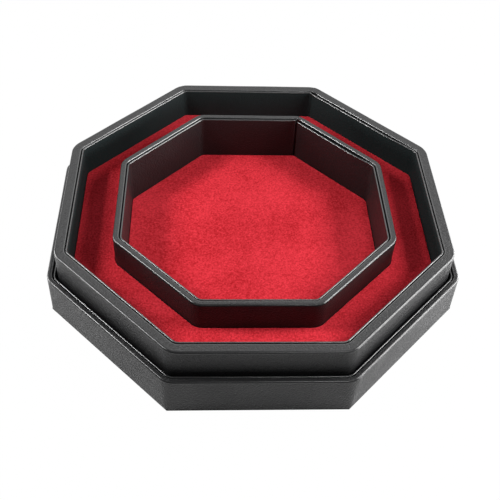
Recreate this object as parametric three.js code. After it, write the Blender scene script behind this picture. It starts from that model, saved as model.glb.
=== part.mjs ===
// An octagonal dice tray with a raised staging shelf round a rolling well, standing in its own upturned lid.
// Millimetres, +Z up. The origin is the centre of the underside, and the front faces -Y.
import * as THREE from "three";

// Plan sizes, from the middle outwards
const wellAcrossFlats = 175.6;
const ringCoreThickness = 2.4;
const stagingWidth = 27.4;
const trayCoreThickness = 5.1;
const lidFitClearance = 1.4;
const lidCoreThickness = 1.9;

// Heights, from the table upwards
const lidSheetThickness = 0.6;
const lidBoardThickness = 1.6;
const lidLiningThickness = 0.4;
const lidDepth = 27.0;
const traySheetThickness = 0.6;
const trayBoardThickness = 2.8;
const wellPadThickness = 3.6;
const wellCardThickness = 1.5;
const wellDepth = 35.2;
const stagingRiserHeight = 16.9;
const stagingCardThickness = 1.5;
const stagingDepth = 23.1;

// Coverings and linings
const wrapThickness = 0.7;
const wrapFlange = 12;
const velvetThickness = 1.0;
const linerSkinThickness = 0.3;
const linerCardThickness = 0.4;
const trayLinerDrop = 0.3;
const ringLinerDrop = 0.8;
const lidLinerDrop = 0.8;
const sheetInset = 0.1;

// Clearances: glued layers, a liner behind its rim, a floor between its walls, and the two ends of a strip
const glueGap = 0.12;
const linerGap = 0.6;
const padFit = 0.35;
const mitreGap = 0.3;
const wrapSeamGap = 0.3;
const linerSeamGap = 0.4;
const ringLinerSeamGap = 1.8;

// Rounded edges
const trayCornerRadius = 14;
const ringCornerRadius = 11;
const lidCornerRadius = 13;
const footCornerRadius = 5;
const rimOuterEdgeRadius = 1.3;
const rimInnerEdgeRadius = 0.8;
const footEdgeRadius = 0.5;
const linerEdgeRadius = 0.45;
const velvetEdgeRadius = 0.8;
const leastCornerRadius = 0.6;

// Plain numbers: the octagon, and how finely a bend is drawn
const sideNames = ["front", "front_right", "right", "back_right", "back", "back_left", "left", "front_left"];
const sideTurn = (2 * Math.PI) / sideNames.length;
const halfTurn = sideTurn / 2;
const frontAngle = -Math.PI / 2;
const seamAngle = frontAngle + 3.5 * sideTurn;
const cornerSteps = 4;
const edgeSteps = 3;

// Walls and their inner liners, worked out from the well to the lid
const linerThickness = linerCardThickness + 2 * (linerSkinThickness + glueGap);
const wallOver = (core) => core + 2 * (wrapThickness + glueGap);
const ringWall = wallOver(ringCoreThickness);
const trayWall = wallOver(trayCoreThickness);
const lidWall = wallOver(lidCoreThickness);
const ringOuter = wellAcrossFlats / 2 + linerThickness + linerGap + ringWall;
const trayOuter = ringOuter + stagingWidth + linerThickness + linerGap + trayWall;
const lidOuter = trayOuter + lidFitClearance + linerThickness + linerGap + lidWall;

// Levels of the lid, from the table
const lidBoardBottom = lidSheetThickness + wrapThickness + 2 * glueGap;
const lidBoardTop = lidBoardBottom + lidBoardThickness;
const lidFloor = lidBoardTop + glueGap + lidLiningThickness;
const lidRim = lidFloor + lidDepth;

// Levels of the tray, from its own underside
const trayLift = lidFloor + glueGap;
const trayBoardBottom = traySheetThickness + wrapThickness + 2 * glueGap;
const trayBoardTop = trayBoardBottom + trayBoardThickness;
const standingLevel = trayBoardTop + glueGap;
const wellCardBottom = standingLevel + wellPadThickness + glueGap;
const wellFloor = wellCardBottom + wellCardThickness + glueGap + velvetThickness;
const ringRim = wellFloor + wellDepth;
const stagingCardBottom = standingLevel + stagingRiserHeight + glueGap;
const stagingFloor = stagingCardBottom + stagingCardThickness + glueGap + velvetThickness;
const trayRim = stagingFloor + stagingDepth;

const finishes = {
  leatherette: new THREE.MeshStandardMaterial({ color: 0x2a2a2b, roughness: 0.5, metalness: 0 }),
  velvet: new THREE.MeshStandardMaterial({ color: 0xb01c2a, roughness: 0.95, metalness: 0 }),
  fibreboard: new THREE.MeshStandardMaterial({ color: 0xb08c5e, roughness: 0.8, metalness: 0 }),
  greyboard: new THREE.MeshStandardMaterial({ color: 0x8c877c, roughness: 0.9, metalness: 0 }),
  foam: new THREE.MeshStandardMaterial({ color: 0x3c3c3e, roughness: 0.9, metalness: 0 }),
};

// A point beside a corner: `aside` is its distance from the line through the octagon's middle and that corner.
function besideCorner(apothem, radius, angle, aside) {
  const far = Math.abs(aside);
  const onArc = far <= radius * Math.sin(halfTurn);
  const along = onArc
    ? (apothem - radius) / Math.cos(halfTurn) + Math.sqrt(radius ** 2 - far ** 2)
    : (apothem - far * Math.sin(halfTurn)) / Math.cos(halfTurn);
  return new THREE.Vector2(along, aside).rotateAround(new THREE.Vector2(), angle);
}

// One counter-clockwise octagon with round corners. With a seam it is an open strip that starts and ends at one corner.
function octagonLoop(apothem, radius, seam) {
  const points = [];
  const reach = radius * Math.sin(halfTurn);
  const halfCorner = (angle, side, start) => {
    const length = Math.max(reach - start, seam);
    return Array.from({ length: cornerSteps / 2 + 1 }, (_, k) =>
      besideCorner(apothem, radius, angle, side * (start + (length * 2 * k) / cornerSteps)),
    );
  };
  if (seam > 0) points.push(...halfCorner(seamAngle, 1, seam / 2));
  const wholeCorners = sideNames.length - (seam > 0 ? 1 : 0);
  for (let i = 1; i <= wholeCorners; i++) {
    const angle = seamAngle + i * sideTurn;
    const centre = (apothem - radius) / Math.cos(halfTurn);
    for (let k = 0; k <= cornerSteps; k++) {
      const turn = angle - halfTurn + (k / cornerSteps) * sideTurn;
      points.push(
        new THREE.Vector2(
          centre * Math.cos(angle) + radius * Math.cos(turn),
          centre * Math.sin(angle) + radius * Math.sin(turn),
        ),
      );
    }
  }
  if (seam > 0) points.push(...halfCorner(seamAngle, -1, seam / 2).reverse());
  return points;
}

// Corner radius at an apothem, so that every layer of one wall bends about the same line.
const roundsOf = (outer, outerRadius) => (apothem) =>
  Math.max(leastCornerRadius, outerRadius - (outer - apothem));

// Carries a profile of (apothem, height) points, counter-clockwise, round the octagon. A point at 0 is on the axis.
// The corner radius may depend on both.
function sweepOctagon(profile, radiusAt, seam = 0) {
  const positions = [];
  const rows = profile.map(({ x: apothem, y: height }) => {
    const start = positions.length / 3;
    const loop = apothem > 0 ? octagonLoop(apothem, radiusAt(apothem, height), seam) : [new THREE.Vector2()];
    loop.forEach((p) => positions.push(p.x, p.y, height));
    return { start, count: loop.length };
  });
  const vertex = (row, k) => row.start + (k % row.count);
  const faces = [];
  rows.forEach((row, i) => {
    const next = rows[(i + 1) % rows.length];
    const count = Math.max(row.count, next.count);
    if (count === 1) return;
    for (let k = 0; k < (seam > 0 ? count - 1 : count); k++) {
      if (row.count > 1) faces.push(vertex(row, k), vertex(row, k + 1), vertex(next, k + 1));
      if (next.count > 1) faces.push(vertex(row, k), vertex(next, k + 1), vertex(next, k));
    }
  });
  if (seam > 0) {
    for (const [a, b, c] of THREE.ShapeUtils.triangulateShape(profile, [])) {
      faces.push(rows[a].start, rows[b].start, rows[c].start);
      const last = (i) => rows[i].start + rows[i].count - 1;
      faces.push(last(a), last(c), last(b));
    }
  }
  const geometry = new THREE.BufferGeometry();
  geometry.setAttribute("position", new THREE.Float32BufferAttribute(positions, 3));
  geometry.setIndex(faces);
  geometry.computeVertexNormals();
  return geometry;
}

// A quarter round from one compass direction to the next, as profile points.
function quarterRound(cx, cz, radius, startTurn) {
  return Array.from({ length: edgeSteps + 1 }, (_, k) => {
    const turn = startTurn + ((k / edgeSteps) * Math.PI) / 2;
    return new THREE.Vector2(cx + radius * Math.cos(turn), cz + radius * Math.sin(turn));
  });
}

const point = (x, y) => new THREE.Vector2(x, y);

// A sheet folded over a rim. Its outside reaches down to `bottom`, its inside to `innerBottom`, and it may turn under.
function foldedProfile({
  outer,
  thickness,
  bottom,
  innerBottom = bottom,
  top,
  skin,
  edgeRadius,
  innerEdgeRadius = edgeRadius,
  flange = 0,
}) {
  const inner = outer - thickness;
  const foldUnder = [
    point(outer - flange, bottom),
    ...quarterRound(outer - footEdgeRadius, bottom + footEdgeRadius, footEdgeRadius, -Math.PI / 2),
  ];
  const plainFoot = [point(outer - skin, bottom), point(outer, bottom)];
  const foot = flange > 0 ? foldUnder : plainFoot;
  const rim = [
    ...quarterRound(outer - edgeRadius, top - edgeRadius, edgeRadius, 0),
    ...quarterRound(inner + innerEdgeRadius, top - innerEdgeRadius, innerEdgeRadius, Math.PI / 2),
  ];
  const inside = [
    point(inner, innerBottom),
    point(inner + skin, innerBottom),
    point(inner + skin, top - skin),
    point(outer - skin, top - skin),
  ];
  const under = flange > 0 ? [point(outer - skin, bottom + skin), point(outer - flange, bottom + skin)] : [];
  return [...foot, ...rim, ...inside, ...under];
}

function boxProfile(inner, outer, bottom, top) {
  return [point(inner, bottom), point(outer, bottom), point(outer, top), point(inner, top)];
}

function addMesh(group, name, geometry, finish) {
  const mesh = new THREE.Mesh(geometry, finishes[finish]);
  mesh.name = name;
  group.add(mesh);
  return mesh;
}

// A flat octagonal plate with its underside at `level`.
function addPlate(group, name, finish, { apothem, level, thickness, radius }) {
  const outline = new THREE.Shape(octagonLoop(apothem, radius, 0));
  const geometry = new THREE.ExtrudeGeometry(outline, { depth: thickness, bevelEnabled: false });
  addMesh(group, name, geometry, finish).position.z = level;
}

// The eight boards of a wall. Each ends in a mitre, and its outer corners stay inside the rounded covering.
function addWallBoards(group, prefix, { outer, wall, cornerRadius, bottom, top }) {
  const face = outer - wrapThickness - glueGap;
  const back = outer - wall + wrapThickness + glueGap;
  const radius = roundsOf(outer, cornerRadius)(face);
  const shorten = mitreGap / 2 / Math.cos(halfTurn);
  const bend = besideCorner(face, radius, halfTurn, 0);
  const half = [
    point(back, back * Math.tan(halfTurn) - shorten),
    point(bend.x, bend.y - shorten),
    point(face, (face - radius) * Math.tan(halfTurn)),
  ];
  const mirrored = half.map((p) => point(p.x, -p.y)).reverse();
  const outline = new THREE.Shape([...mirrored, ...half]);
  sideNames.forEach((side, i) => {
    const geometry = new THREE.ExtrudeGeometry(outline, { depth: top - bottom, bevelEnabled: false });
    const mesh = addMesh(group, `${prefix}_${side}`, geometry, "fibreboard");
    mesh.rotation.z = frontAngle + i * sideTurn;
    mesh.position.z = bottom;
  });
}

// A wall: its boards, the leatherette strip folded over them, and the thin liner that stands inside. Where the strip
// turns under, it is pulled tighter round the corners at the foot than at the rim.
function addWall(group, prefix, { outer, wall, cornerRadius, bottom, rim, standing, flange, linerDrop, linerSeam }) {
  const rounds = roundsOf(outer, cornerRadius);
  const tightened = (height) => THREE.MathUtils.mapLinear(height, bottom, rim, footCornerRadius, cornerRadius);
  const wrapRounds = (apothem, height) => roundsOf(outer, tightened(height))(apothem);
  const wrap = foldedProfile({
    outer,
    thickness: wall,
    bottom,
    innerBottom: standing,
    top: rim,
    skin: wrapThickness,
    edgeRadius: rimOuterEdgeRadius,
    innerEdgeRadius: rimInnerEdgeRadius,
    flange,
  });
  const wrapShape = sweepOctagon(wrap, flange > 0 ? wrapRounds : rounds, wrapSeamGap);
  addMesh(group, `${prefix}_wrap`, wrapShape, "leatherette");
  addWallBoards(group, `${prefix}_wall`, {
    outer,
    wall,
    cornerRadius,
    bottom: bottom + (flange > 0 ? wrapThickness + glueGap : 0),
    top: rim - wrapThickness - glueGap,
  });

  const linerOuter = outer - wall - linerGap;
  const linerTop = rim - linerDrop;
  const skin = foldedProfile({
    outer: linerOuter,
    thickness: linerThickness,
    bottom: standing,
    top: linerTop,
    skin: linerSkinThickness,
    edgeRadius: linerEdgeRadius,
  });
  addMesh(group, `${prefix}_liner_skin`, sweepOctagon(skin, rounds, linerSeam), "leatherette");
  const inset = linerSkinThickness + glueGap;
  const card = boxProfile(linerOuter - linerThickness + inset, linerOuter - inset, standing, linerTop - inset);
  addMesh(group, `${prefix}_liner_card`, sweepOctagon(card, rounds, linerSeam), "greyboard");
}

function makeLid() {
  const lid = new THREE.Group();
  addPlate(lid, "lid_top_sheet", "leatherette", {
    apothem: lidOuter - sheetInset,
    level: 0,
    thickness: lidSheetThickness,
    radius: leastCornerRadius,
  });
  addWall(lid, "lid", {
    outer: lidOuter,
    wall: lidWall,
    cornerRadius: lidCornerRadius,
    bottom: lidSheetThickness + glueGap,
    rim: lidRim,
    standing: lidBoardTop + glueGap,
    flange: wrapFlange,
    linerDrop: lidLinerDrop,
    linerSeam: linerSeamGap,
  });
  addPlate(lid, "lid_board", "greyboard", {
    apothem: lidOuter - lidWall + wrapThickness,
    level: lidBoardBottom,
    thickness: lidBoardThickness,
    radius: leastCornerRadius,
  });
  const liningApothem = lidOuter - lidWall - linerGap - linerThickness - padFit;
  addPlate(lid, "lid_lining", "velvet", {
    apothem: liningApothem,
    level: lidBoardTop + glueGap,
    thickness: lidLiningThickness,
    radius: roundsOf(lidOuter, lidCornerRadius)(liningApothem),
  });
  return lid;
}

// The shelf round the well: a foam riser, and a card covered with velvet whose edges turn down. Its corners follow
// the ring's at its inner edge and the tray's liner at its outer edge.
function addStagingShelf(group) {
  const inner = ringOuter + padFit;
  const outer = ringOuter + stagingWidth - padFit;
  const innerRadius = ringCornerRadius + padFit;
  const outerRadius = roundsOf(trayOuter, trayCornerRadius)(outer);
  const rounds = (apothem) => THREE.MathUtils.mapLinear(apothem, inner, outer, innerRadius, outerRadius);
  const velvetInset = velvetThickness + glueGap;
  const riser = boxProfile(inner, outer, standingLevel, standingLevel + stagingRiserHeight);
  addMesh(group, "staging_riser", sweepOctagon(riser, rounds), "foam");
  const cardTop = stagingCardBottom + stagingCardThickness;
  const card = boxProfile(inner + velvetInset, outer - velvetInset, stagingCardBottom, cardTop);
  addMesh(group, "staging_card", sweepOctagon(card, rounds), "greyboard");
  const velvet = foldedProfile({
    outer,
    thickness: outer - inner,
    bottom: stagingCardBottom,
    top: stagingFloor,
    skin: velvetThickness,
    edgeRadius: velvetEdgeRadius,
  });
  addMesh(group, "staging_velvet", sweepOctagon(velvet, rounds), "velvet");
}

// The well's floor: a foam pad, and a card capped with velvet whose edge turns down.
function addWellFloor(group) {
  const outer = wellAcrossFlats / 2 - padFit;
  const rounds = roundsOf(ringOuter, ringCornerRadius);
  const cardApothem = outer - velvetThickness - glueGap;
  const plate = { apothem: cardApothem, radius: rounds(cardApothem) };
  addPlate(group, "well_pad", "foam", { ...plate, level: standingLevel, thickness: wellPadThickness });
  addPlate(group, "well_card", "greyboard", { ...plate, level: wellCardBottom, thickness: wellCardThickness });
  const underside = wellFloor - velvetThickness;
  const cap = [
    point(outer - velvetThickness, wellCardBottom),
    point(outer, wellCardBottom),
    ...quarterRound(outer - velvetEdgeRadius, wellFloor - velvetEdgeRadius, velvetEdgeRadius, 0),
    point(0, wellFloor),
    point(0, underside),
    point(outer - velvetThickness, underside),
  ];
  addMesh(group, "well_velvet", sweepOctagon(cap, rounds), "velvet");
}

function makeTray() {
  const tray = new THREE.Group();
  addPlate(tray, "tray_underside_sheet", "leatherette", {
    apothem: trayOuter - sheetInset,
    level: 0,
    thickness: traySheetThickness,
    radius: leastCornerRadius,
  });
  addWall(tray, "tray", {
    outer: trayOuter,
    wall: trayWall,
    cornerRadius: trayCornerRadius,
    bottom: traySheetThickness + glueGap,
    rim: trayRim,
    standing: standingLevel,
    flange: wrapFlange,
    linerDrop: trayLinerDrop,
    linerSeam: linerSeamGap,
  });
  addPlate(tray, "tray_board", "fibreboard", {
    apothem: trayOuter - trayWall + wrapThickness,
    level: trayBoardBottom,
    thickness: trayBoardThickness,
    radius: leastCornerRadius,
  });
  addStagingShelf(tray);
  addWall(tray, "ring", {
    outer: ringOuter,
    wall: ringWall,
    cornerRadius: ringCornerRadius,
    bottom: standingLevel,
    rim: ringRim,
    standing: standingLevel,
    flange: 0,
    linerDrop: ringLinerDrop,
    linerSeam: ringLinerSeamGap,
  });
  addWellFloor(tray);
  tray.position.z = trayLift;
  return tray;
}

const diceTray = new THREE.Group();
diceTray.add(makeLid(), makeTray());

export default diceTray;
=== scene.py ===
# Looks for an octagonal lidded tray: leatherette walls, velvet floors, and boards, cards and foam inside.
# Metres, +Z up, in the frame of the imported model. The front faces -Y.
import math

import bmesh
import bpy
import numpy as np
from mathutils import Matrix, Vector, noise


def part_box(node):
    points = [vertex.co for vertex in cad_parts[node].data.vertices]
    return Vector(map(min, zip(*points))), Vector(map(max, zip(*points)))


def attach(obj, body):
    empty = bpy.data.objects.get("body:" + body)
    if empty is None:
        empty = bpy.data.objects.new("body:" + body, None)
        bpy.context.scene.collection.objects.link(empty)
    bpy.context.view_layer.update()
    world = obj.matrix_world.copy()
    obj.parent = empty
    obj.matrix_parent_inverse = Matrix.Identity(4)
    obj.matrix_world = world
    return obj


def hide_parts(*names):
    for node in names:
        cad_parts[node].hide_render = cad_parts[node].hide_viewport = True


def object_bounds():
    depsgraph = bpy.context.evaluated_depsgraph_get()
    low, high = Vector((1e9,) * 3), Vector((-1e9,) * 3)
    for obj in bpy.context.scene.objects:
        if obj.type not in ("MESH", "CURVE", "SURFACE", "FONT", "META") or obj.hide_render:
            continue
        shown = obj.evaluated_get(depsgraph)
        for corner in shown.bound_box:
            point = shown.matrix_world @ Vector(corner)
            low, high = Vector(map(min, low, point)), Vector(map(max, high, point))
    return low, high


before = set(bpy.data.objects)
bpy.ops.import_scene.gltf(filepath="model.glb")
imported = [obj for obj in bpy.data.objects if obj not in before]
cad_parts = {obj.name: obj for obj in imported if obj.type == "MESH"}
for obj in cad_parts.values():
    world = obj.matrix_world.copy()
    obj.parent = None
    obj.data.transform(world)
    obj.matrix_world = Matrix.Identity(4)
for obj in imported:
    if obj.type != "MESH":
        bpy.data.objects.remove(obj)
cad_low, cad_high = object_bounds()

MM = 0.001

# The octagon, and the back-right corner, where each strip's two ends meet
SIDES = 8
TURN = 2 * math.pi / SIDES
HALF_TURN = TURN / 2
SEAM_ANGLE = math.radians(67.5)

# How finely shapes are drawn
HALF_CORNER_STEPS = 5
SIDE_STEPS = 26
NEAR_CORNER_SHARES = (0.004, 0.014)
EDGE_STEPS = 7
VELVET_EDGE_STEPS = 4
PLATE_EDGE_STEPS = 3
FOAM_EDGE_STEPS = 2
WALL_ROWS = 6
RIM_ROWS = 2
LINER_ROWS = 3
PLATE_ROWS = 3
SHELF_ROWS = 10
WELL_ROWS = 26

# How far from a round the next row lies, so that the flat beside it stays flat
SUPPORT = 0.25 * MM

# Points nearer than this are one, edges that turn less are smooth, and lengths that differ by less are equal
SAME_PLACE = 0.001 * MM
SMOOTH_TURN = math.radians(50)
ROUNDING_ERROR = 1e-12

# A profile row's finish, which is its material's place in the piece's list. A face takes the lower finish of
# its two rows.
FLAT, FOLD, RIM, INNER_FOLD = 0, 1, 2, 3

# Layers
GLUE_GAP = 0.12 * MM
LINER_THICKNESS = 1.24 * MM
PAD_FIT = 0.35 * MM
VELVET_THICKNESS = 1.0 * MM
WRAP_FLANGE = 12 * MM

# How far the velvet reaches past the CAD's, and how near it comes to the ring
VELVET_REACH = 0.25 * MM
VELVET_FIT = 0.1 * MM

# The gap between a strip's two ends
WRAP_SEAM = 0.3 * MM
LINER_SEAM = {"lid": 0.4 * MM, "tray": 0.4 * MM, "ring": 1.8 * MM}

# Rounded corners and edges
CORNER_RADIUS = {"lid": 13 * MM, "tray": 14 * MM, "ring": 11 * MM}
FOOT_RADIUS = 5 * MM
LEAST_RADIUS = 0.6 * MM
RIM_EDGE = 1.3 * MM
INNER_RIM_EDGE = 0.8 * MM
FOOT_EDGE = 0.6 * MM
LINER_EDGE = 0.58 * MM
VELVET_EDGE = 0.7 * MM
SHEET_EDGE = 0.15 * MM
PAD_EDGE = 0.4 * MM
RISER_EDGE = 0.6 * MM

# Hand work: how far a rim wavers, a face dishes and a folded corner sinks
WAVER = 0.2 * MM
DISH = 0.12 * MM
CREASE = 0.12 * MM
LINER_WAVER = 0.1 * MM
LINER_DISH = 0.05 * MM

# Its waves round a loop, as (count, share), and how far they are shifted for a face's dish and a rim's height
RIPPLE_WAVES = ((3, 0.35), (7, 0.3), (13, 0.25), (19, 0.1))
DISH_PHASE = 2.1
SETTLE_PHASE = 4.4

# How near to its ends a strip's rim lifts, the top share of a wall that moves up and down, and how sharply
# a lifted end bends inwards near the rim
CURL_REACH = 4 * MM
MOVING_SHARE = 0.15
BEND_POWER = 8

# The share of its last side over which a liner leans inwards fully, before it eases back to the wall
LEAN_SHARE = 0.7

# How a cloth floor rolls: its depth, its waves as repeats in a metre, their parts, and the mean drop
VELVET_RISE = 0.2 * MM
BROAD_WAVES = 22
SMALL_WAVES = 90
BROAD_PART = 0.7
SMALL_PART = 0.3
MEAN_DROP = 0.5

# Colours, dark and light where there are two
BLACK = ((0.006, 0.006, 0.0065), (0.0095, 0.0095, 0.01))
PRESSED_BLACK = ((0.005, 0.005, 0.0055), (0.008, 0.008, 0.0085))
GREEN_BLACK = ((0.0095, 0.0145, 0.0148), (0.0125, 0.019, 0.0193))
RED = ((0.35, 0.0052, 0.0098), (0.71, 0.034, 0.051))
BROWN = ((0.3, 0.18, 0.09), (0.42, 0.27, 0.14))
WARM_GREY = ((0.2, 0.185, 0.16), (0.3, 0.28, 0.24))
FOAM_GREY = ((0.02, 0.02, 0.021), (0.05, 0.05, 0.052))
SHEEN_TINT = (1.0, 0.35, 0.4)
FLOOR_WHITE = (0.8, 0.8, 0.8)
WHITE = (1, 1, 1)

# Textures, as repeats in a metre
BROAD_SCALE = 30
PEBBLE_SCALE = 900
GRAIN_SCALE = 2600
PATCH_SCALE = 22
MOTTLE_SCALE = 800
PILE_SCALE = 1500
FIBREBOARD_SCALE = 700
GREYBOARD_SCALE = 900
CELL_SCALE = 1400

# Relief of leatherette, as (pebbles, grain), and of the rest
EMBOSSED = (0.25 * MM, 0.03 * MM)
SHALLOW = (0.2 * MM, 0.02 * MM)
PRESSED = (0.006 * MM, 0.004 * MM)
MOTTLE_DEPTH = 0.25 * MM
PILE_DEPTH = 0.15 * MM
BOARD_DEPTH = 0.05 * MM
CELL_DEPTH = 0.1 * MM

# Leatherette: its refractive index, the range of a noise that counts, and how far its gloss varies
USUAL_INDEX = 1.5
POLISHED_INDEX = 1.75
NOISE_MIDDLE = (0.3, 0.7)
DULLEST = 0.6
GLOSSIEST = 1.4

# Velvet: the mottle's part and the patches' parts of its tone, the sums between which the tone turns,
# the noise at which fibre ends show, how much they show, and how much lighter they are
MOTTLE_PART = 0.6
PATCH_PARTS = (0.05, 0.35)
TONE_TURNS = (0.38, 0.62)
SPECKLE_TURNS = (0.55, 0.8)
SPECKLE_SHARE = 0.5
SPECKLE_GAIN = 1.25
SPECKLE_LIFT = 0.02

# Boards: how their pattern is scaled, which draws it out upright, and the noise between which its tone turns
FIBRE_STRETCH = (1, 1, 0.25)
FIBRE_TURNS = (0.35, 0.65)

# The photograph's camera
CAMERA_LENS = 57.0
CAMERA_SENSOR = 36.0
CAMERA_DISTANCE = 580.5 * MM
CAMERA_AIM = Vector((-0.75, -1.2, -0.72)) * MM
CAMERA_AZIMUTH = math.radians(-4.31)
CAMERA_ELEVATION = math.radians(47.21)
CAMERA_ROLL = math.radians(3.32)

# Soft lamps: name, azimuth and elevation in degrees, distance, width and height in metres, and irradiance at
# the object in watts a square metre
SOFTBOXES = (
    ("right_softbox", -3, 43, 0.85, 0.34, 0.24, 2.4),
    ("right_low_softbox", -2, 14, 0.5, 0.5, 0.14, 5.2),
    ("left_softbox", 182, 45, 0.85, 0.15, 0.22, 2.3),
    ("left_low_softbox", 172, 14, 0.5, 0.24, 0.1, 1.7),
    ("back_softbox", 88, 48, 0.85, 0.8, 0.42, 0.3),
    ("front_fill", -68, 58, 0.85, 0.1, 0.1, 0.46),
)

# The floor: its half width in metres, its gloss, and how white it is to the camera and in a mirror
FLOOR_REACH = 3.0
FLOOR_ROUGHNESS = 0.35
FLOOR_GLOSS = 1.0
FLOOR_SEEN_WHITE = 0.995
FLOOR_MIRRORED_WHITE = 0.25

# The surroundings: their light, and the white that a mirror sees in them, which grows as its ray turns from
# the sides to the back
WORLD_LEVEL = 0.03
BACKDROP_TURNS = (0.1, 0.7)
BACKDROP_MIRRORED_WHITE = (0.1, 1.0)


def add_camera():
    back = Vector((
        math.sin(CAMERA_AZIMUTH) * math.cos(CAMERA_ELEVATION),
        -math.cos(CAMERA_AZIMUTH) * math.cos(CAMERA_ELEVATION),
        math.sin(CAMERA_ELEVATION),
    ))
    right = Vector((math.cos(CAMERA_AZIMUTH), math.sin(CAMERA_AZIMUTH), 0))
    up = back.cross(right)
    turned = Matrix((right, up, back)).transposed().to_4x4()
    data = bpy.data.cameras.new("camera")
    data.lens = CAMERA_LENS
    data.sensor_width = CAMERA_SENSOR
    camera = bpy.data.objects.new("camera", data)
    place = Matrix.Translation(CAMERA_AIM + back * CAMERA_DISTANCE)
    camera.matrix_world = place @ turned @ Matrix.Rotation(CAMERA_ROLL, 4, "Z")
    bpy.context.scene.collection.objects.link(camera)
    bpy.context.scene.camera = camera


# Shapes swept round the octagon

def half_corner(apothem, radius, start):
    """Places beside a corner's line, from start to where the side is straight.

    Each is (distance along the line, distance away from it, turn of the outward direction).
    """
    reach = radius * math.sin(HALF_TURN)
    aside = np.linspace(start, max(reach, start + LEAST_RADIUS / 2), HALF_CORNER_STEPS + 1)
    on_arc = aside <= reach + ROUNDING_ERROR
    rounded = (apothem - radius) / math.cos(HALF_TURN) + np.sqrt(np.maximum(radius**2 - aside**2, 0))
    straight = (apothem - aside * math.sin(HALF_TURN)) / math.cos(HALF_TURN)
    turn = np.where(on_arc, np.arcsin(np.minimum(aside / radius, 1)), HALF_TURN)
    return np.c_[np.where(on_arc, rounded, straight), aside, turn]


def octagon_loop(apothem, radius, seam):
    """A loop from the seam corner, counter-clockwise and back to it.

    Gives its points, their outward directions, the length to each, and which points are the corners' middles.
    """
    half = half_corner(apothem, radius, seam / 2)
    whole = half_corner(apothem, radius, 0)
    mirror = np.array([1, -1, -1])
    corners = [half]
    for _ in range(SIDES - 1):
        corners.append(np.vstack([(whole * mirror)[:0:-1], whole]))
    corners.append((half * mirror)[::-1])
    points, outs = [], []
    for i, corner in enumerate(corners):
        angle = SEAM_ANGLE + i * TURN
        c, s = math.cos(angle), math.sin(angle)
        points.append(corner[:, :2] @ np.array([[c, s], [-s, c]]))
        outs.append(np.c_[np.cos(angle + corner[:, 2]), np.sin(angle + corner[:, 2])])
    near = np.array(NEAR_CORNER_SHARES)
    shares = np.r_[near, np.linspace(0, 1, SIDE_STEPS)[1:-1], 1 - near[::-1]][:, None]
    loop, out = [points[0]], [outs[0]]
    for i in range(SIDES):
        loop += [points[i][-1] * (1 - shares) + points[i + 1][0] * shares, points[i + 1]]
        out += [np.repeat(outs[i][-1:], len(shares), 0), outs[i + 1]]
    loop, out = np.vstack(loop), np.vstack(out)
    if seam == 0:
        loop, out = loop[:-1], out[:-1]
    steps = np.linalg.norm(np.diff(loop, axis=0), axis=1)
    side = len(shares)
    corner = len(whole) * 2 - 1
    middles = len(half) + side + len(whole) - 1 + np.arange(SIDES - 1) * (corner + side)
    return loop, out, np.r_[0, np.cumsum(steps)], middles


def rounds_of(outer, radius):
    """Corner radius at an apothem, so that the layers of a wall bend about one line."""
    return lambda apothem, _: max(LEAST_RADIUS, radius - (outer - apothem))


def wall_rounds(prefix):
    """The same from a wall's own strip inwards."""
    return rounds_of(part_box(f"{prefix}_wrap")[1].x, CORNER_RADIUS[prefix])


def tightened_rounds(outer, radius, low, high):
    """The same for a strip that is pulled tighter round the corners at its foot than at its rim."""

    def radius_at(apothem, height):
        here = np.interp(height, (low, high), (FOOT_RADIUS, radius))
        return rounds_of(outer, here)(apothem, height)

    return radius_at


def sharp_corners(*_):
    return LEAST_RADIUS


def ripple(lengths, phase):
    """An unevenness from -1 to 1 that closes on itself round a loop."""
    turns = 2 * math.pi * lengths / lengths[-1]
    return sum(share * np.sin(count * turns + phase * (count + 1)) for count, share in RIPPLE_WAVES)


def sweep(name, rows, radius_at, seam=0.0, shape=None):
    """A closed profile of rows (apothem, height, finish) carried round the octagon.

    A seam is a gap at the seam corner, and shape() may move the points.
    """
    rows = np.array(rows, float)
    loops = []
    for apothem, height in np.maximum(rows[:, :2], (LEAST_RADIUS, -np.inf)):
        loops.append(octagon_loop(apothem, radius_at(apothem, height), seam))
    count = len(loops[0][0])
    points = np.zeros((len(rows), count, 3))
    for i, (loop, *_) in enumerate(loops):
        points[i, :, :2] = loop if rows[i, 0] > 0 else 0
        points[i, :, 2] = rows[i, 1]
    if shape is not None:
        outs = np.array([out for _, out, *_ in loops])
        _, _, lengths, corners = loops[int(rows[:, 0].argmax())]
        shape(points, outs, lengths, corners)
    across = count - 1 if seam > 0 else count
    faces = []
    for i in range(len(rows)):
        j = (i + 1) % len(rows)
        for k in range(across):
            m = (k + 1) % count
            faces.append((i * count + k, i * count + m, j * count + m, j * count + k))
    if seam > 0:
        faces.append([i * count for i in range(len(rows))][::-1])
        faces.append([i * count + count - 1 for i in range(len(rows))])
    mesh = bpy.data.meshes.new(name)
    mesh.from_pydata(points.reshape(-1, 3).tolist(), [], faces)
    finish = np.minimum(rows[:, 2], np.roll(rows[:, 2], -1)).astype(int)
    for face, index in zip(mesh.polygons, np.repeat(finish, across)):
        face.material_index = int(index)
    return finish_mesh(name, mesh)


def finish_mesh(name, mesh):
    work = bmesh.new()
    work.from_mesh(mesh)
    bmesh.ops.remove_doubles(work, verts=work.verts, dist=SAME_PLACE)
    bmesh.ops.recalc_face_normals(work, faces=work.faces)
    work.to_mesh(mesh)
    work.free()
    mesh.shade_smooth()
    mesh.set_sharp_from_angle(angle=SMOOTH_TURN)
    piece = bpy.data.objects.new(name, mesh)
    bpy.context.scene.collection.objects.link(piece)
    return piece


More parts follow.
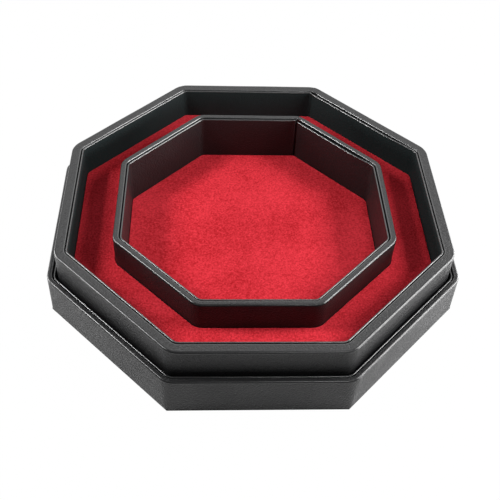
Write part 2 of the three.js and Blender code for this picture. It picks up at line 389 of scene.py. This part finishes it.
def arc(cx, cz, radius, start_turn, steps=EDGE_STEPS, finish=FLAT):
    """A quarter round as profile rows."""
    turns = start_turn + np.linspace(0, math.pi / 2, steps + 1)
    return [(cx + radius * math.cos(turn), cz + radius * math.sin(turn), finish) for turn in turns]


def between(a, b, count, finish=FLAT):
    """Rows evenly between two (apothem, height) places, without their ends."""
    shares = np.linspace(0, 1, count + 2)[1:-1]
    return [(a[0] + (b[0] - a[0]) * t, a[1] + (b[1] - a[1]) * t, finish) for t in shares]


def folded_rows(outer, inner, bottom, inner_bottom, top, skin, flange):
    """A leather strip folded over a rim: up the outside, over the top and down the inside.

    It has its own thickness, and with a flange it also turns under the foot.
    """
    rows = []
    if flange > 0:
        rows.append((outer - flange, bottom, FLAT))
        rows.append((outer - FOOT_EDGE - SUPPORT, bottom, FLAT))
        rows += arc(outer - FOOT_EDGE, bottom + FOOT_EDGE, FOOT_EDGE, -math.pi / 2)
        low = bottom + FOOT_EDGE + SUPPORT
    else:
        rows.append((outer - skin, bottom, FLAT))
        rows.append((outer, bottom, FLAT))
        low = bottom + SUPPORT
    high = top - RIM_EDGE - SUPPORT
    rows.append((outer, low, FLAT))
    rows += between((outer, low), (outer, high), WALL_ROWS)
    rows.append((outer, high, FLAT))
    rows += arc(outer - RIM_EDGE, top - RIM_EDGE, RIM_EDGE, 0, finish=FOLD)
    start = (outer - RIM_EDGE - SUPPORT, top)
    end = (inner + INNER_RIM_EDGE + SUPPORT, top)
    rows.append((*start, RIM))
    rows += between(start, end, RIM_ROWS, RIM)
    rows.append((*end, RIM))
    edge = INNER_RIM_EDGE
    rows += arc(inner + edge, top - edge, edge, math.pi / 2, finish=INNER_FOLD)
    rows.append((inner, top - edge - SUPPORT, FLAT))
    rows.append((inner, inner_bottom, FLAT))
    rows.append((inner + skin, inner_bottom, FLAT))
    rows.append((inner + skin, top - skin, FLAT))
    rows.append((outer - skin, top - skin, FLAT))
    if flange > 0:
        rows.append((outer - skin, bottom + skin, FLAT))
        rows.append((outer - flange, bottom + skin, FLAT))
    return rows


def strip_rows(outer, inner, bottom, top, edge):
    """A covered card standing on end: a solid strip with a round top."""
    rows = [(inner, bottom, FLAT), (outer, bottom, FLAT)]
    high = top - edge - SUPPORT
    rows += between((outer, bottom), (outer, high), LINER_ROWS)
    rows.append((outer, high, FLAT))
    rows += arc(outer - edge, top - edge, edge, 0, finish=FOLD)
    rows += arc(inner + edge, top - edge, edge, math.pi / 2, finish=FOLD)
    rows.append((inner, high, FLAT))
    rows += between((inner, high), (inner, bottom), LINER_ROWS)
    return rows


def plate_rows(apothem, bottom, top, edge):
    """A flat plate with softened edges, closed on the axis."""
    flat = apothem - edge - SUPPORT
    rows = [(0, bottom, FLAT), (flat, bottom, FLAT)]
    rows += arc(apothem - edge, bottom + edge, edge, -math.pi / 2, PLATE_EDGE_STEPS)
    rows += arc(apothem - edge, top - edge, edge, 0, PLATE_EDGE_STEPS)
    rows.append((flat, top, FLAT))
    rows += between((flat, top), (0, top), PLATE_ROWS)
    rows.append((0, top, FLAT))
    return rows


# How hand work shows: walls are a little uneven, strip ends lift where they meet, and cloth rises and falls

def curl(distance, reach):
    """1 at a strip's end, falling steeply at first, to 0 at the reach."""
    return np.clip(1 - distance / reach, 0, 1) ** 2


def fade(distance, reach):
    """1 at the start, falling smoothly to 0 at the reach."""
    share = np.clip(1 - distance / reach, 0, 1)
    return share**2 * (3 - 2 * share)


def uneven_wall(bottom, top, phase, lifts, waver=WAVER, dish=DISH, lean=0):
    """Moves a wall's points a little.

    Its rim wavers, its faces dish, its corners crease, its ends lift, and its last side leans inwards.
    """

    def shape(points, outs, lengths, corners):
        height = np.clip((points[:, :, 2] - bottom) / (top - bottom), 0, 1)
        sway = waver * (ripple(lengths, phase) - 1) / 2 * height**2
        hollow = dish * np.abs(ripple(lengths, phase + DISH_PHASE)) * np.sin(np.pi * height)
        first, last = lengths, lengths[-1] - lengths
        lift = lifts[0] * curl(first, CURL_REACH) + lifts[1] * curl(last, CURL_REACH)
        side = lengths[-1] / SIDES
        leaning = fade(np.maximum(last - LEAN_SHARE * side, 0), (1 - LEAN_SHARE) * side)
        fall = lean * leaning * height**2 + lift * height**BEND_POWER
        points[:, :, :2] += outs * (sway - hollow - fall)[:, :, None]
        settle = waver * (ripple(lengths, phase + SETTLE_PHASE) - 1) / 2
        crease = CREASE * np.isin(np.arange(len(lengths)), corners)
        near_top = np.clip((height - (1 - MOVING_SHARE)) / MOVING_SHARE, 0, 1)
        points[:, :, 2] += near_top * (lift + settle - crease)

    return shape


def soft_top(level, phase):
    """Lets a cloth floor rise and fall by a fraction of a millimetre."""

    def shape(points, *_):
        top = points[:, :, 2] > level - SAME_PLACE
        for i, k in zip(*np.nonzero(top)):
            x, y, _ = points[i, k]
            broad = noise.noise(Vector((x * BROAD_WAVES + phase, y * BROAD_WAVES, phase)))
            small = noise.noise(Vector((x * SMALL_WAVES, y * SMALL_WAVES + phase, phase)))
            points[i, k, 2] += VELVET_RISE * (BROAD_PART * broad + SMALL_PART * small - MEAN_DROP)

    return shape


# Materials

def new_material(name):
    material = bpy.data.materials.new(name)
    material.use_nodes = True
    nodes = material.node_tree.nodes
    return material, nodes, material.node_tree.links, nodes["Principled BSDF"]


def object_place(nodes):
    return nodes.new("ShaderNodeTexCoord").outputs["Object"]


def maths(nodes, links, operation, *values):
    """One operation on two or three values, each a number or another node's output."""
    node = nodes.new("ShaderNodeMath")
    node.operation = operation
    for socket, value in zip(node.inputs, values):
        if isinstance(value, float):
            socket.default_value = value
        else:
            links.new(value, socket)
    return node.outputs[0]


def noise_at(nodes, links, place, scale, detail=2.0, roughness=0.5):
    texture = nodes.new("ShaderNodeTexNoise")
    texture.inputs["Scale"].default_value = scale
    texture.inputs["Detail"].default_value = detail
    texture.inputs["Roughness"].default_value = roughness
    links.new(place, texture.inputs["Vector"])
    return texture.outputs["Fac"]


def mapped(nodes, links, value, to, given=(0, 1)):
    """A value carried from the given range to another one, and held inside it."""
    node = nodes.new("ShaderNodeMapRange")
    node.inputs["From Min"].default_value, node.inputs["From Max"].default_value = given
    node.inputs["To Min"].default_value, node.inputs["To Max"].default_value = to
    links.new(value, node.inputs["Value"])
    return node.outputs["Result"]


def mixed(nodes, links, share, first, second):
    """A colour between two, each a colour or another node's output."""
    node = nodes.new("ShaderNodeMix")
    node.data_type = "RGBA"
    links.new(share, node.inputs["Factor"])
    for socket, colour in ((node.inputs[6], first), (node.inputs[7], second)):
        if isinstance(colour, tuple):
            socket.default_value = (*colour, 1)
        else:
            links.new(colour, socket)
    return node.outputs[2]


def bumped(nodes, links, height, distance, strength, under=None, sunken=False):
    node = nodes.new("ShaderNodeBump")
    node.invert = sunken
    node.inputs["Distance"].default_value = distance
    node.inputs["Strength"].default_value = strength
    links.new(height, node.inputs["Height"])
    if under is not None:
        links.new(under, node.inputs["Normal"])
    return node.outputs["Normal"]


def leatherette(name, tones, gloss, roughs, depths, index=USUAL_INDEX):
    """Black coated cloth: embossed pebbles, a gloss that varies with a fine grain, and broad unevenness."""
    material, nodes, links, shader = new_material(name)
    place = object_place(nodes)
    broad = noise_at(nodes, links, place, BROAD_SCALE, detail=3)
    grain = noise_at(nodes, links, place, GRAIN_SCALE)
    pebbles = nodes.new("ShaderNodeTexVoronoi")
    pebbles.feature = "SMOOTH_F1"
    pebbles.inputs["Scale"].default_value = PEBBLE_SCALE
    pebbles.inputs["Smoothness"].default_value = 0.3
    links.new(place, pebbles.inputs["Vector"])
    links.new(mixed(nodes, links, broad, *tones), shader.inputs["Base Color"])
    links.new(mapped(nodes, links, broad, roughs, NOISE_MIDDLE), shader.inputs["Roughness"])
    glosses = (DULLEST * gloss, GLOSSIEST * gloss)
    links.new(mapped(nodes, links, grain, glosses, NOISE_MIDDLE), shader.inputs["Specular IOR Level"])
    shader.inputs["IOR"].default_value = index
    distance = pebbles.outputs["Distance"]
    domes = maths(nodes, links, "MULTIPLY", distance, distance)
    normal = bumped(nodes, links, domes, depths[0], strength=1.0, sunken=True)
    normal = bumped(nodes, links, grain, depths[1], strength=0.5, under=normal)
    links.new(normal, shader.inputs["Normal"])
    return material


def velvet(name, shade, lit):
    """Short pile: patches where it lies differently, a speckle of fibre ends, and sheen at a slant."""
    material, nodes, links, shader = new_material(name)
    place = object_place(nodes)
    patches = noise_at(nodes, links, place, PATCH_SCALE, detail=3, roughness=0.6)
    mottle = noise_at(nodes, links, place, MOTTLE_SCALE, detail=3, roughness=0.6)
    pile = noise_at(nodes, links, place, PILE_SCALE, roughness=0.7)
    lie = mapped(nodes, links, patches, PATCH_PARTS)
    lie = maths(nodes, links, "MULTIPLY_ADD", mottle, MOTTLE_PART, lie)
    colour = mixed(nodes, links, mapped(nodes, links, lie, (0, 1), TONE_TURNS), shade, lit)
    speckle = tuple(min(1, SPECKLE_GAIN * c + SPECKLE_LIFT) for c in lit)
    speckling = mapped(nodes, links, pile, (0, SPECKLE_SHARE), SPECKLE_TURNS)
    links.new(mixed(nodes, links, speckling, colour, speckle), shader.inputs["Base Color"])
    shader.inputs["Roughness"].default_value = 0.95
    shader.inputs["Specular IOR Level"].default_value = 0.15
    shader.inputs["Sheen Weight"].default_value = 0.12
    shader.inputs["Sheen Roughness"].default_value = 0.45
    shader.inputs["Sheen Tint"].default_value = (*SHEEN_TINT, 1)
    normal = bumped(nodes, links, mottle, MOTTLE_DEPTH, strength=0.4)
    normal = bumped(nodes, links, pile, PILE_DEPTH, strength=0.5, under=normal)
    links.new(normal, shader.inputs["Normal"])
    return material


def pressed_board(name, tones, scale, roughness):
    """Fibreboard or greyboard: matted fibres in two tones."""
    material, nodes, links, shader = new_material(name)
    stretched = nodes.new("ShaderNodeMapping")
    stretched.inputs["Scale"].default_value = FIBRE_STRETCH
    links.new(object_place(nodes), stretched.inputs["Vector"])
    fibres = noise_at(nodes, links, stretched.outputs["Vector"], scale, detail=4, roughness=0.6)
    tone = mapped(nodes, links, fibres, (0, 1), FIBRE_TURNS)
    links.new(mixed(nodes, links, tone, *tones), shader.inputs["Base Color"])
    shader.inputs["Roughness"].default_value = roughness
    links.new(bumped(nodes, links, fibres, BOARD_DEPTH, strength=0.4), shader.inputs["Normal"])
    return material


def foam(name, tones):
    """Foam with fine closed cells."""
    material, nodes, links, shader = new_material(name)
    cells = nodes.new("ShaderNodeTexVoronoi")
    cells.inputs["Scale"].default_value = CELL_SCALE
    links.new(object_place(nodes), cells.inputs["Vector"])
    distance = cells.outputs["Distance"]
    tone = mapped(nodes, links, distance, (0, 0.6))
    links.new(mixed(nodes, links, tone, *tones), shader.inputs["Base Color"])
    shader.inputs["Roughness"].default_value = 0.95
    links.new(bumped(nodes, links, distance, CELL_DEPTH, strength=0.5), shader.inputs["Normal"])
    return material


LEATHER = leatherette("leatherette", BLACK, gloss=0.3, roughs=(0.42, 0.5), depths=EMBOSSED)
FOLDED = leatherette("leatherette_fold", PRESSED_BLACK, gloss=0.6, roughs=(0.27, 0.33), depths=PRESSED)
STRETCHED = leatherette("leatherette_rim", BLACK, gloss=0.68, roughs=(0.4, 0.48), depths=EMBOSSED)
LINING = leatherette("leatherette_lining", GREEN_BLACK, gloss=0.1, roughs=(0.75, 0.85), depths=SHALLOW)
POLISHED = leatherette(
    "leatherette_polished_fold",
    PRESSED_BLACK,
    gloss=0.7,
    roughs=(0.27, 0.33),
    depths=PRESSED,
    index=POLISHED_INDEX,
)
VELVET = velvet("red_velvet", *RED)
BOARD = pressed_board("fibreboard", BROWN, FIBREBOARD_SCALE, roughness=0.85)
CARD = pressed_board("greyboard", WARM_GREY, GREYBOARD_SCALE, roughness=0.9)
FOAM = foam("closed_foam", FOAM_GREY)


def dress(piece, materials, slot, body, *nodes):
    for material in materials:
        piece.data.materials.append(material)
    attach(piece, body)
    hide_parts(*nodes)
    return piece


# The walls, and the liners that stand inside them

def add_wall(prefix, body, rim, flange, phase, lifts):
    low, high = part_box(f"{prefix}_wrap")
    board_low, board_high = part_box(f"{prefix}_wall_front")
    liner_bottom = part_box(f"{prefix}_liner_skin")[0].z
    outer, face, back = high.x, -board_low.y, -board_high.y
    cover = outer - face
    rounds = wall_rounds(prefix)
    if flange > 0:
        rounds = tightened_rounds(outer, CORNER_RADIUS[prefix], low.z, high.z)
    rows = folded_rows(
        outer=outer,
        inner=back - cover,
        bottom=low.z,
        inner_bottom=liner_bottom,
        top=high.z,
        skin=cover - GLUE_GAP,
        flange=flange,
    )
    shape = uneven_wall(low.z, high.z, phase, lifts)
    leather = sweep(f"{prefix}_leather", rows, rounds, WRAP_SEAM, shape)
    dress(leather, (LEATHER, FOLDED, rim, POLISHED), "leatherette", body, f"{prefix}_wrap")


def add_liner(prefix, body, material, phase, lifts, lean):
    low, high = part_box(f"{prefix}_liner_skin")
    rows = strip_rows(high.x, high.x - LINER_THICKNESS, low.z, high.z, LINER_EDGE)
    shape = uneven_wall(low.z, high.z, phase, lifts, LINER_WAVER, LINER_DISH, lean)
    liner = sweep(f"{prefix}_liner", rows, wall_rounds(prefix), LINER_SEAM[prefix], shape)
    dress(liner, (material, POLISHED), "leatherette", body, f"{prefix}_liner_skin", f"{prefix}_liner_card")


# The flat sheets, the velvet floors and the foam

def add_sheet(name, body, node, material, slot, rounds):
    low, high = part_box(node)
    rows = plate_rows(high.x, low.z, high.z, SHEET_EDGE)
    return dress(sweep(name, rows, rounds), (material,), slot, body, node)


def add_well_velvet():
    low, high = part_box("well_velvet")
    outer = high.x + VELVET_REACH
    under = high.z - VELVET_THICKNESS
    start = (outer - VELVET_EDGE - SUPPORT, high.z)
    rows = [(outer - VELVET_THICKNESS, low.z, FLAT), (outer, low.z, FLAT)]
    rows += arc(outer - VELVET_EDGE, high.z - VELVET_EDGE, VELVET_EDGE, 0, VELVET_EDGE_STEPS)
    rows.append((*start, FLAT))
    rows += between(start, (0, high.z), WELL_ROWS)
    rows += [(0, high.z, FLAT), (0, under, FLAT), (outer - VELVET_THICKNESS, under, FLAT)]
    shape = soft_top(high.z, phase=3.7)
    piece = sweep("well_floor_velvet", rows, wall_rounds("ring"), shape=shape)
    return dress(piece, (VELVET,), "velvet", "tray", "well_velvet")


def shelf_rounds(inner, outer):
    """Corner radius across the shelf, from the ring's at its inner edge to the liner's at its outer edge."""
    at_ring = CORNER_RADIUS["ring"] + PAD_FIT
    at_wall = CORNER_RADIUS["tray"] - (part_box("tray_wrap")[1].x - outer)
    return lambda apothem, _: at_ring + (at_wall - at_ring) * (apothem - inner) / (outer - inner)


def add_staging_velvet():
    low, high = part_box("staging_velvet")
    outer = high.x + VELVET_REACH
    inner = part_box("ring_wrap")[1].x + VELVET_FIT
    under = high.z - VELVET_THICKNESS
    start = (outer - VELVET_EDGE - SUPPORT, high.z)
    end = (inner + VELVET_EDGE + SUPPORT, high.z)
    rows = [(outer - VELVET_THICKNESS, low.z, FLAT), (outer, low.z, FLAT)]
    rows += arc(outer - VELVET_EDGE, high.z - VELVET_EDGE, VELVET_EDGE, 0, VELVET_EDGE_STEPS)
    rows.append((*start, FLAT))
    rows += between(start, end, SHELF_ROWS)
    rows.append((*end, FLAT))
    rows += arc(inner + VELVET_EDGE, high.z - VELVET_EDGE, VELVET_EDGE, math.pi / 2, VELVET_EDGE_STEPS)
    rows += [(inner, low.z, FLAT), (inner + VELVET_THICKNESS, low.z, FLAT)]
    rows += [(inner + VELVET_THICKNESS, under, FLAT), (outer - VELVET_THICKNESS, under, FLAT)]
    shape = soft_top(high.z, phase=8.2)
    piece = sweep("staging_floor_velvet", rows, shelf_rounds(inner, outer), shape=shape)
    return dress(piece, (VELVET,), "velvet", "tray", "staging_velvet")


def add_pad():
    low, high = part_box("well_pad")
    rows = plate_rows(high.x, low.z, high.z, PAD_EDGE)
    pad = dress(sweep("well_foam", rows, wall_rounds("ring")), (FOAM,), "foam", "tray", "well_pad")


def add_riser():
    low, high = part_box("staging_riser")
    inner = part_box("ring_wrap")[1].x + PAD_FIT
    rows = []
    for turn, (x, z) in enumerate((
        (high.x - RISER_EDGE, low.z + RISER_EDGE),
        (high.x - RISER_EDGE, high.z - RISER_EDGE),
        (inner + RISER_EDGE, high.z - RISER_EDGE),
        (inner + RISER_EDGE, low.z + RISER_EDGE),
    )):
        rows += arc(x, z, RISER_EDGE, (turn - 1) * math.pi / 2, FOAM_EDGE_STEPS)
    piece = sweep("staging_foam", rows, shelf_rounds(inner, high.x))
    dress(piece, (FOAM,), "foam", "tray", "staging_riser")


def dress_boards():
    for name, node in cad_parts.items():
        if node.hide_render:
            continue
        is_card = name.endswith("card") or name == "lid_board"
        node.data.materials.clear()
        node.data.materials.append(CARD if is_card else BOARD)


# The floor, the surroundings and the lamps

def white_rays(nodes, links, gloss):
    """How much a ray sees plain white: the camera's and a clear material's in full, a mirror's by gloss."""
    path = nodes.new("ShaderNodeLightPath")
    mirror = maths(nodes, links, "MULTIPLY", path.outputs["Is Glossy Ray"], gloss)
    share = maths(nodes, links, "MAXIMUM", path.outputs["Is Camera Ray"], mirror)
    return maths(nodes, links, "MAXIMUM", share, path.outputs["Is Transmission Ray"])


def mix_white(nodes, links, kind, plain, share):
    white = nodes.new(kind)
    white.inputs["Color"].default_value = (*WHITE, 1)
    white.inputs["Strength"].default_value = 1.0
    mix = nodes.new("ShaderNodeMixShader")
    links.new(share, mix.inputs[0])
    links.new(plain, mix.inputs[1])
    links.new(white.outputs[0], mix.inputs[2])
    return mix.outputs[0]


def add_floor():
    mesh = bpy.data.meshes.new("studio_floor")
    corners = [(-1, -1), (1, -1), (1, 1), (-1, 1)]
    mesh.from_pydata([(x * FLOOR_REACH, y * FLOOR_REACH, 0) for x, y in corners], [], [range(len(corners))])
    floor = bpy.data.objects.new("studio_floor", mesh)
    floor.location.z = cad_low.z
    bpy.context.scene.collection.objects.link(floor)
    material, nodes, links, shader = new_material("studio_white")
    shader.inputs["Base Color"].default_value = (*FLOOR_WHITE, 1)
    shader.inputs["Roughness"].default_value = FLOOR_ROUGHNESS
    shader.inputs["Specular IOR Level"].default_value = FLOOR_GLOSS
    seen = white_rays(nodes, links, FLOOR_MIRRORED_WHITE)
    share = mapped(nodes, links, seen, (0, FLOOR_SEEN_WHITE))
    white = mix_white(nodes, links, "ShaderNodeEmission", shader.outputs[0], share)
    links.new(white, nodes["Material Output"].inputs["Surface"])
    mesh.materials.append(material)


def add_world():
    world = bpy.data.worlds.new("studio")
    world.use_nodes = True
    nodes, links = world.node_tree.nodes, world.node_tree.links
    plain = nodes["Background"]
    plain.inputs["Color"].default_value = (*WHITE, 1)
    plain.inputs["Strength"].default_value = WORLD_LEVEL
    axes = nodes.new("ShaderNodeSeparateXYZ")
    links.new(nodes.new("ShaderNodeTexCoord").outputs["Generated"], axes.inputs[0])
    backdrop = mapped(nodes, links, axes.outputs["Y"], BACKDROP_MIRRORED_WHITE, BACKDROP_TURNS)
    share = white_rays(nodes, links, backdrop)
    white = mix_white(nodes, links, "ShaderNodeBackground", plain.outputs[0], share)
    links.new(white, nodes["World Output"].inputs["Surface"])
    bpy.context.scene.world = world


def add_lamps():
    for name, azimuth, elevation, distance, width, height, irradiance in SOFTBOXES:
        azimuth, elevation = math.radians(azimuth), math.radians(elevation)
        level = math.cos(elevation)
        towards = Vector((level * math.cos(azimuth), level * math.sin(azimuth), math.sin(elevation)))
        data = bpy.data.lights.new(name, "AREA")
        data.shape = "RECTANGLE"
        data.size, data.size_y = width, height
        data.energy = math.pi * irradiance * distance**2
        lamp = bpy.data.objects.new(name, data)
        lamp.location = towards * distance
        lamp.rotation_euler = towards.to_track_quat("Z", "Y").to_euler()
        lamp.visible_camera = False
        bpy.context.scene.collection.objects.link(lamp)


add_camera()
add_wall("lid", "lid", LEATHER, WRAP_FLANGE, phase=0.4, lifts=(0.3 * MM, 0.4 * MM))
add_wall("tray", "tray", STRETCHED, WRAP_FLANGE, phase=1.7, lifts=(0.1 * MM, 1.2 * MM))
add_wall("ring", "tray", STRETCHED, flange=0, phase=2.9, lifts=(0.3 * MM, 0.3 * MM))
add_liner("lid", "lid", LINING, phase=0.9, lifts=(0.2 * MM, 0.2 * MM), lean=0)
add_liner("tray", "tray", LINING, phase=3.3, lifts=(0.5 * MM, 0.2 * MM), lean=1.3 * MM)
add_liner("ring", "tray", LEATHER, phase=5.1, lifts=(1.5 * MM, 0.2 * MM), lean=1.5 * MM)
add_sheet("lid_top_leather", "lid", "lid_top_sheet", LEATHER, "leatherette", sharp_corners)
add_sheet("tray_base_leather", "tray", "tray_underside_sheet", LEATHER, "leatherette", sharp_corners)
lid_floor = add_sheet("lid_floor_velvet", "lid", "lid_lining", VELVET, "velvet", wall_rounds("lid"))
well_floor = add_well_velvet()
staging_floor = add_staging_velvet()
add_pad()
add_riser()
dress_boards()
add_floor()
add_world()
add_lamps()

bpy.context.scene.view_settings.view_transform = "Standard"
